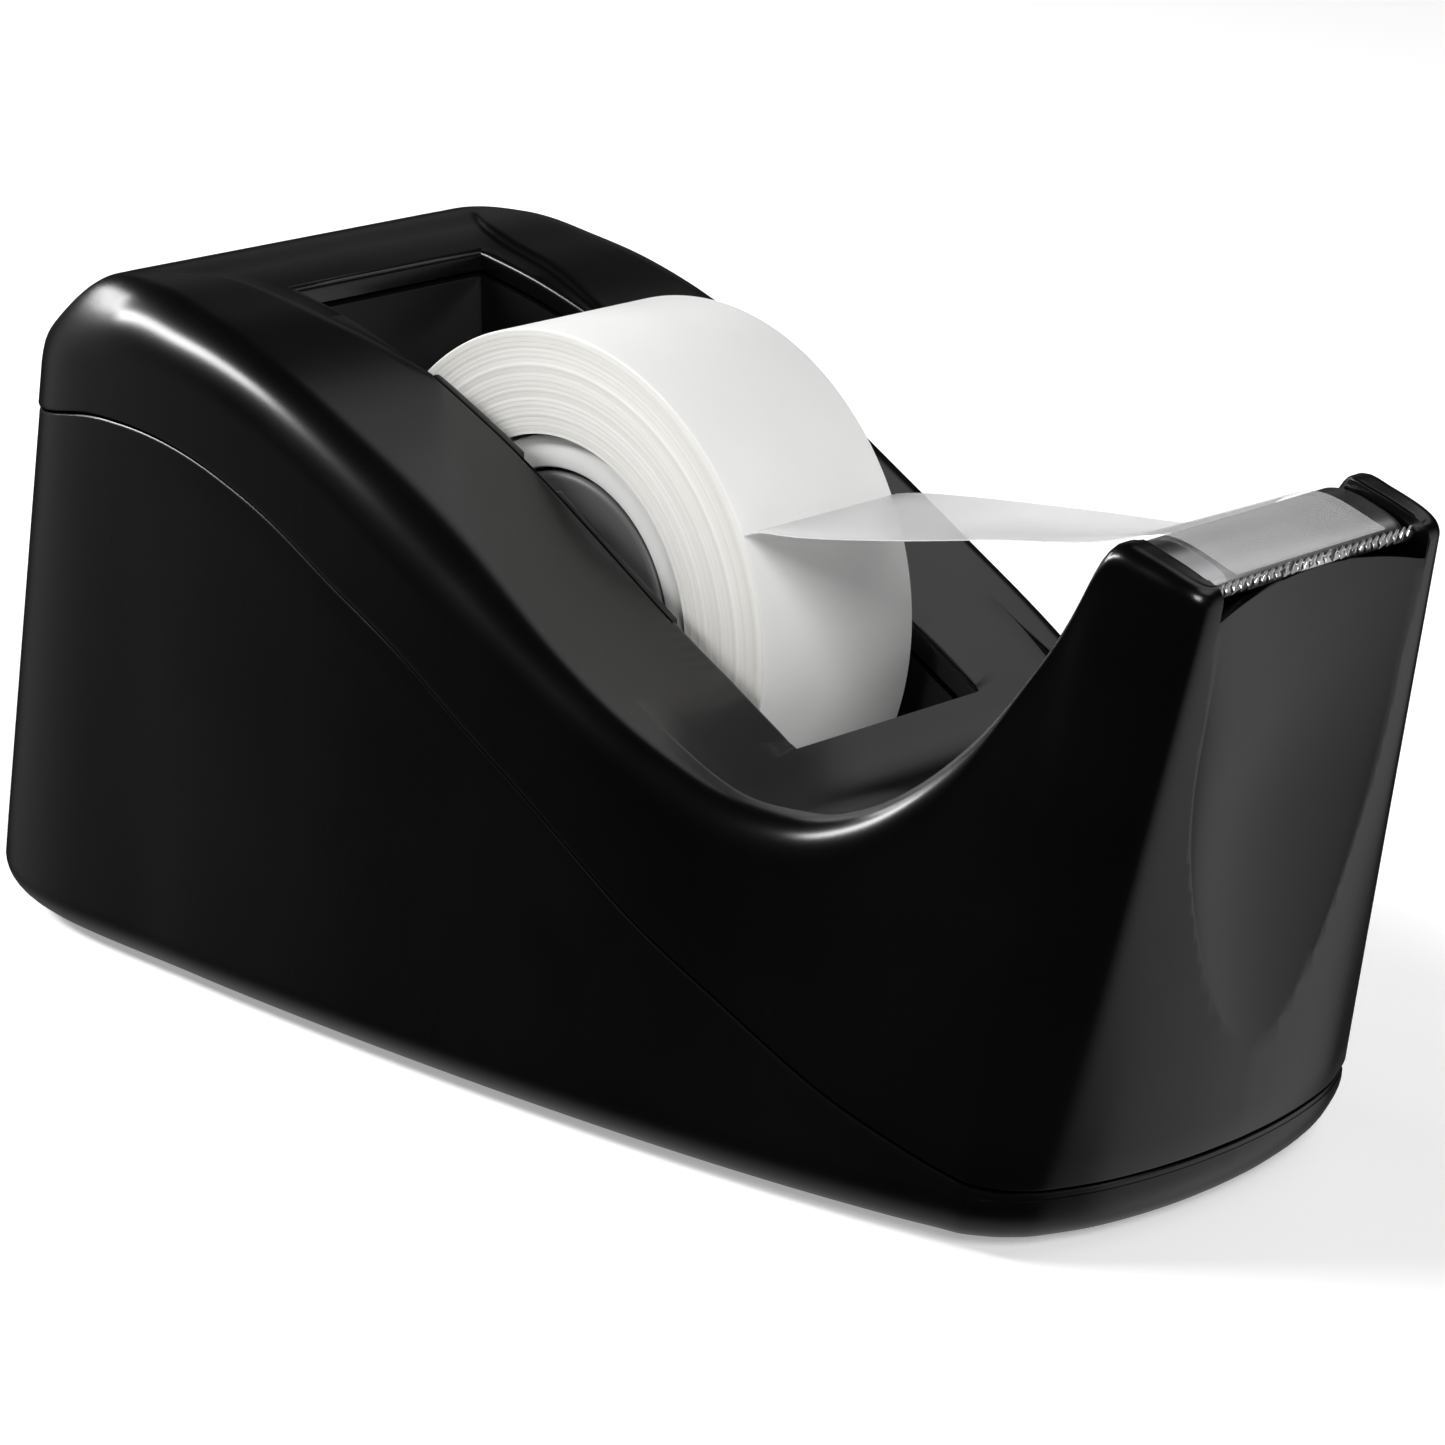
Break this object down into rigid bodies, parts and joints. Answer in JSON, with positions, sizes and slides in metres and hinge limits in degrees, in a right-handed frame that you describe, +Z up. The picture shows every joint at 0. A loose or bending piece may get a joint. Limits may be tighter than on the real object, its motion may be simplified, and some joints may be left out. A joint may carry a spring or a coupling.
{
  "type": "tape dispenser",
  "caption": "Weighted desk tape dispenser: curved black shell over a base housing, lift-out hub with a tape roll, chrome tape platform and a serrated cutter blade.",
  "frame": {"origin": "middle of the body's length and width on the rest plane, at the underside of the pad", "axes": "+X along the length towards the cutter, +Y across the width along the hub axis, +Z up"},
  "size_m": [0.1462, 0.0584, 0.0662],
  "materials": {
    "shell_plastic": "satin moulded black, fine texture",
    "base_plastic": "satin moulded black, fine texture",
    "well_plastic": "moulded black",
    "pad_rubber": "matte non-slip foam rubber",
    "hub_plastic": "moulded dark grey",
    "core_plastic": "white core",
    "tape_film": "translucent matte film",
    "platform_chrome": "bright plated",
    "blade_steel": "stamped serrated steel",
    "ballast_iron": "rough",
    "screw_steel": "plain zinc"
  },
  "bodies": {
    "housing": {"upper_shell": "shell_plastic", "base_housing": "base_plastic", "non_slip_pad": "pad_rubber", "tape_well": "well_plastic", "ballast_rear": "ballast_iron", "ballast_front": "ballast_iron", "ballast_plate": "ballast_iron", "base_screw_rear_left": "screw_steel", "base_screw_rear_right": "screw_steel", "base_screw_front_left": "screw_steel", "base_screw_front_right": "screw_steel", "well_screw_rear": "screw_steel", "well_screw_front": "screw_steel", "tape_platform": "platform_chrome", "cutter_blade": "blade_steel"},
    "hub_carrier": {"hub_axle": "hub_plastic", "tape_tail": "tape_film"},
    "roll": {"hub_drum": "hub_plastic", "hub_cap": "hub_plastic", "tape_core": "core_plastic", "tape_roll": "tape_film"}
  },
  "joints": [
    {"name": "hub_lift", "type": "slide", "parent": "housing", "child": "hub_carrier", "axis": [0, 0, 1], "range_m": [0, 0.055]},
    {"name": "roll_spin", "type": "hinge", "parent": "hub_carrier", "child": "roll", "pos_m": [-0.0046, 0, 0.0396], "axis": [0, 1, 0], "continuous": true}
  ]
}
